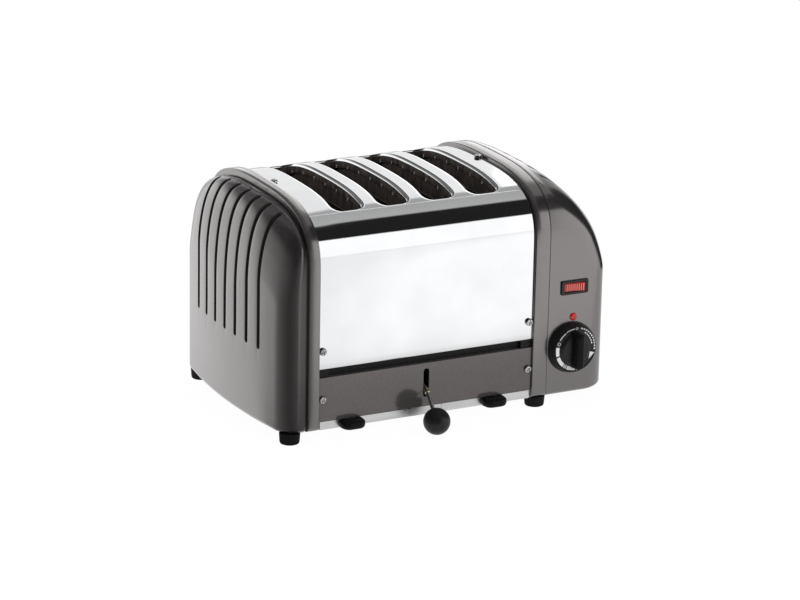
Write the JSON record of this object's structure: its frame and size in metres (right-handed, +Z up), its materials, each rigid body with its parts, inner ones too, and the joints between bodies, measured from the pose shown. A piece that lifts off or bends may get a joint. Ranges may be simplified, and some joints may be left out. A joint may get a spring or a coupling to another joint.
{
  "type": "four-slot toaster",
  "caption": "Long toaster with fluted cast ends, polished body, slotted arched top, eject lever, timer dial, rocker switch and crumb trays.",
  "frame": {"origin": "middle of the bounding box's footprint, on the worktop", "axes": "+X to the toaster's right with the timer's end, front towards -Y, +Z up"},
  "size_m": [0.36, 0.2706, 0.224],
  "materials": {
    "cast_paint": "charcoal metallic paint over cast aluminium",
    "polished_steel": "mirror-polished stainless sheet",
    "panel_paint": "charcoal metallic paint on sheet steel",
    "plated_steel": "plated sheet and wire",
    "screw_steel": "plated",
    "black_rail": "black paint",
    "mica": "matt mica board",
    "black_plastic": "gloss black",
    "timer_case": "dark metal case",
    "brass": "turned",
    "red_lens": "translucent red lens",
    "foot_rubber": "matt"
  },
  "bodies": {
    "body": {"left_end_casting": "cast_paint", "right_end_casting": "cast_paint", "front_panel": "polished_steel", "top_plate": "polished_steel", "rear_panel": "polished_steel", "lower_front_panel": "panel_paint", "rear_lower_panel": "panel_paint", "left_bulkhead": "plated_steel", "right_bulkhead": "plated_steel", "rear_element_carrier": "plated_steel", "front_element_carrier": "plated_steel", "chassis_base": "plated_steel", "rack_guide_rod_1": "plated_steel", "rack_guide_rod_2": "plated_steel", "lever_pivot_pin": "plated_steel", "lever_bracket": "plated_steel", "bread_guard_1_left": "plated_steel", "bread_guard_1_right": "plated_steel", "bread_guard_2_left": "plated_steel", "bread_guard_2_right": "plated_steel", "bread_guard_3_left": "plated_steel", "bread_guard_3_right": "plated_steel", "bread_guard_4_left": "plated_steel", "bread_guard_4_right": "plated_steel", "chrome_screw_front_left": "screw_steel", "chrome_screw_front_right": "screw_steel", "lower_screw_front_left": "screw_steel", "lower_screw_front_right": "screw_steel", "chrome_screw_rear_left": "screw_steel", "chrome_screw_rear_right": "screw_steel", "lower_screw_rear_left": "screw_steel", "lower_screw_rear_right": "screw_steel", "top_screw_left": "screw_steel", "top_screw_right": "screw_steel", "front_rail": "black_rail", "rear_rail": "black_rail", "heating_element_1": "mica", "heating_element_2": "mica", "heating_element_3": "mica", "heating_element_4": "mica", "heating_element_5": "mica", "switch_housing": "black_plastic", "cable_gland": "black_plastic", "timer_body": "timer_case", "indicator_pip": "red_lens", "front_left_foot": "foot_rubber", "rear_left_foot": "foot_rubber", "front_right_foot": "foot_rubber", "rear_right_foot": "foot_rubber"},
    "timer_dial": {"timer_knob": "black_plastic", "timer_spindle": "plated_steel"},
    "rocker": {"switch_rocker": "red_lens"},
    "lever": {"eject_lever": "plated_steel", "eject_lever_ball": "black_plastic", "eject_lever_bush": "brass"},
    "rack": {"toast_rack": "plated_steel"},
    "left_tray": {"left_crumb_tray": "plated_steel", "left_tray_pull": "black_plastic"},
    "right_tray": {"right_crumb_tray": "plated_steel", "right_tray_pull": "black_plastic"}
  },
  "joints": [
    {"name": "timer_turn", "type": "hinge", "parent": "body", "child": "timer_dial", "pos_m": [0.1316, -0.097, 0.0575], "axis": [0, -1, 0], "range_deg": [0, 300]},
    {"name": "rocker_tilt", "type": "hinge", "parent": "body", "child": "rocker", "pos_m": [0.1332, -0.0945, 0.1173], "axis": [0, 0, 1], "range_deg": [0, 12]},
    {"name": "lever_lift", "type": "hinge", "parent": "body", "child": "lever", "pos_m": [-0.0218, -0.065, 0.0568], "axis": [-1, 0, 0], "range_deg": [0, 30]},
    {"name": "rack_lower", "type": "slide", "parent": "body", "child": "rack", "axis": [0, 0, -1], "range_m": [0, 0.0247]},
    {"name": "left_tray_slide", "type": "slide", "parent": "body", "child": "left_tray", "axis": [0, -1, 0], "range_m": [0, 0.19]},
    {"name": "right_tray_slide", "type": "slide", "parent": "body", "child": "right_tray", "axis": [0, -1, 0], "range_m": [0, 0.19]}
  ],
  "couplings": [
    {"joint": "rack_lower", "follows": "lever_lift", "m_per_rad": 0.04698}
  ]
}
